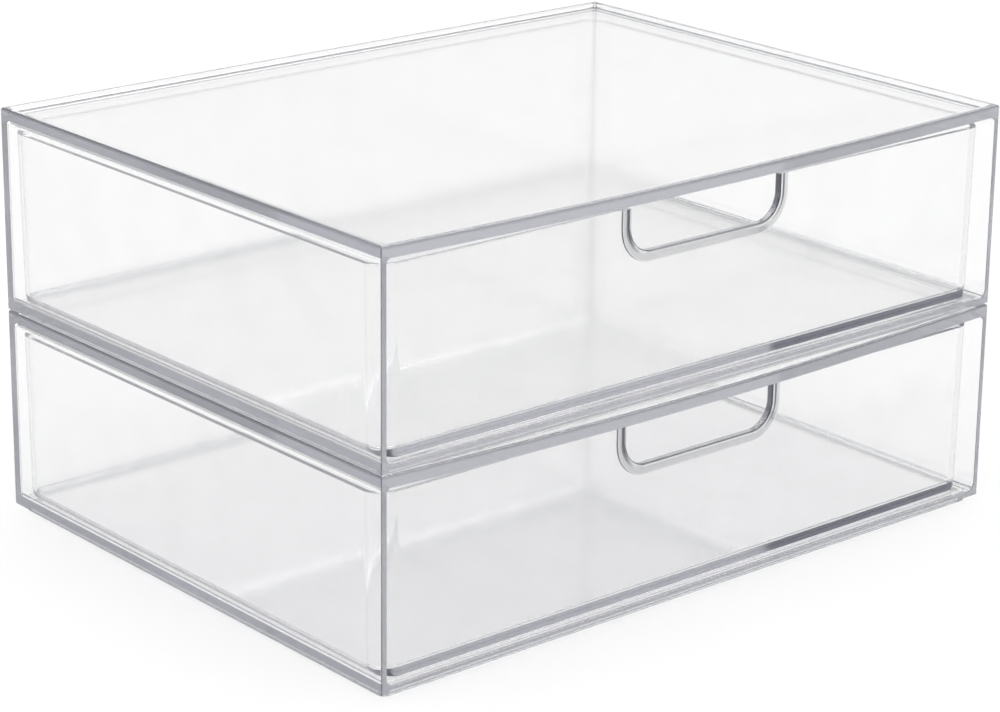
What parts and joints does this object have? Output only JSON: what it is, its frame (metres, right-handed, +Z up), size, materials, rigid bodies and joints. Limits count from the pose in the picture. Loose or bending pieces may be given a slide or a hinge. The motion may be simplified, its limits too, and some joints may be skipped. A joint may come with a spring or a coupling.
{
  "type": "stackable drawer box",
  "caption": "Clear plastic stackable boxes, each an open-fronted casing holding a full-width pull-out tray drawer with a finger cut-out.",
  "frame": {"origin": "centre of the bounding box's underside: the middle of the foot ring's plane", "axes": "+Z up, fronts of the drawers face -Y, +X to the right as seen with +Y ahead"},
  "size_m": [0.305, 0.234, 0.164],
  "materials": {
    "clear_casing": "crystal clear moulded plastic, polished, faint blue-grey at the edges",
    "clear_drawer": "crystal clear moulded plastic, polished"
  },
  "bodies": {
    "lower_casing": {"lower_casing": "clear_casing"},
    "lower_drawer": {"lower_drawer": "clear_drawer"},
    "upper_casing": {"upper_casing": "clear_casing"},
    "upper_drawer": {"upper_drawer": "clear_drawer"}
  },
  "joints": [
    {"name": "lower_drawer_slide", "type": "slide", "parent": "lower_casing", "child": "lower_drawer", "axis": [0, -1, 0], "range_m": [0, 0.18]},
    {"name": "upper_lift", "type": "slide", "parent": "lower_casing", "child": "upper_casing", "axis": [0, 0, 1], "range_m": [0, 0.04]},
    {"name": "upper_drawer_slide", "type": "slide", "parent": "upper_casing", "child": "upper_drawer", "axis": [0, -1, 0], "range_m": [0, 0.18]}
  ]
}
